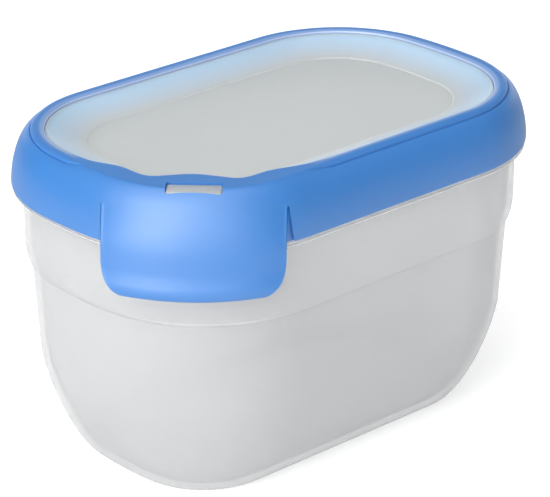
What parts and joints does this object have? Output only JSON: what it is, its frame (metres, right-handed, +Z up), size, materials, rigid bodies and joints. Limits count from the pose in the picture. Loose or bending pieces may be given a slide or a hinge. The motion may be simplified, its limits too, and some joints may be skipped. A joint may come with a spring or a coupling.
{
  "type": "oblong food container",
  "caption": "Tall oblong storage box in milky plastic with a dished press-on lid, a soft coloured lid ring and a springy closing flap at one corner.",
  "frame": {"origin": "middle of the flat base, on the surface the box stands on", "axes": "+X along the box, away from the end with the flap; +Y across it, away from the flap; +Z up"},
  "size_m": [0.1703, 0.1133, 0.1049],
  "materials": {
    "container_body": "satin translucent polypropylene",
    "lid_panel": "satin translucent polypropylene",
    "lid_ring": "soft matte",
    "corner_clip": "soft matte"
  },
  "bodies": {
    "root": {"container_body": "container_body", "lid_panel": "lid_panel", "lid_ring": "lid_ring"},
    "clip": {"corner_clip": "corner_clip"}
  },
  "joints": [
    {"name": "clip_flex", "type": "hinge", "parent": "root", "child": "clip", "pos_m": [-0.06745, -0.03875, 0.1016], "axis": [-0.7071, 0.7071, 0], "range_deg": [0, 30], "stiffness_Nm_per_rad": 0.06}
  ]
}
